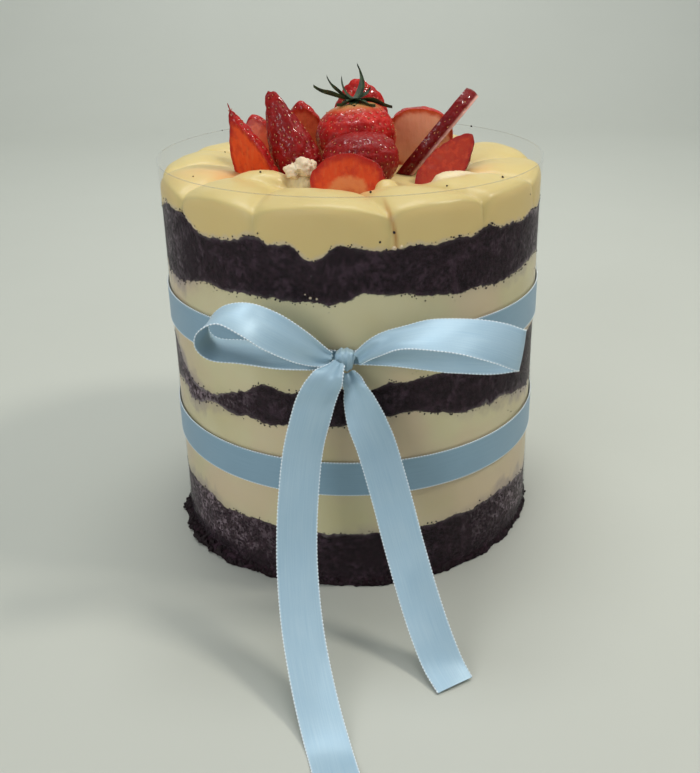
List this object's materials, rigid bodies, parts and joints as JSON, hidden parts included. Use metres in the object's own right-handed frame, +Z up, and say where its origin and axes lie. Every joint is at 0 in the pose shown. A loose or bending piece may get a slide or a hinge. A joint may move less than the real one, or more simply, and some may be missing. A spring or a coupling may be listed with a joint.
{
  "type": "naked layer cake",
  "caption": "Tall round naked cake of dark sponge and pale cream layers in a clear film collar, topped with strawberries and tied with a satin ribbon bow.",
  "frame": {"origin": "centre of the cake's flat base, on the surface it stands on", "axes": "+Z up; the bow and its tails face -Y; +X is to the right seen from the bow"},
  "size_m": [0.1519, 0.2561, 0.1822],
  "materials": {
    "sponge": "moist dark chocolate sponge, matte and crumbly",
    "cream": "thick glossy pale yellow cream",
    "strawberry": "fresh strawberry, wet red skin and orange cut faces",
    "leaf": "dark green leaf",
    "clear_film": "clear acetate film",
    "satin": "light blue satin ribbon with woven edges"
  },
  "bodies": {
    "root": {"sponge_bottom": "sponge", "cream_lower": "cream", "sponge_middle": "sponge", "cream_upper": "cream", "sponge_top": "sponge", "cream_top": "cream", "strawberry_whole": "strawberry", "strawberry_front_half": "strawberry", "strawberry_front_slice": "strawberry", "strawberry_left_slice": "strawberry", "strawberry_left_rear_slice": "strawberry", "strawberry_left_wedge": "strawberry", "strawberry_rear_slice": "strawberry", "strawberry_back_half": "strawberry", "strawberry_right_rear_slice": "strawberry", "strawberry_right_long_slice": "strawberry", "strawberry_right_slice": "strawberry", "strawberry_calyx": "leaf", "film_collar": "clear_film", "ribbon_band_lower": "satin", "ribbon_band_upper": "satin", "bow_knot": "satin", "bow_loop_left": "satin", "bow_loop_right": "satin", "bow_tail_left": "satin", "bow_tail_right": "satin"}
  },
  "joints": []
}
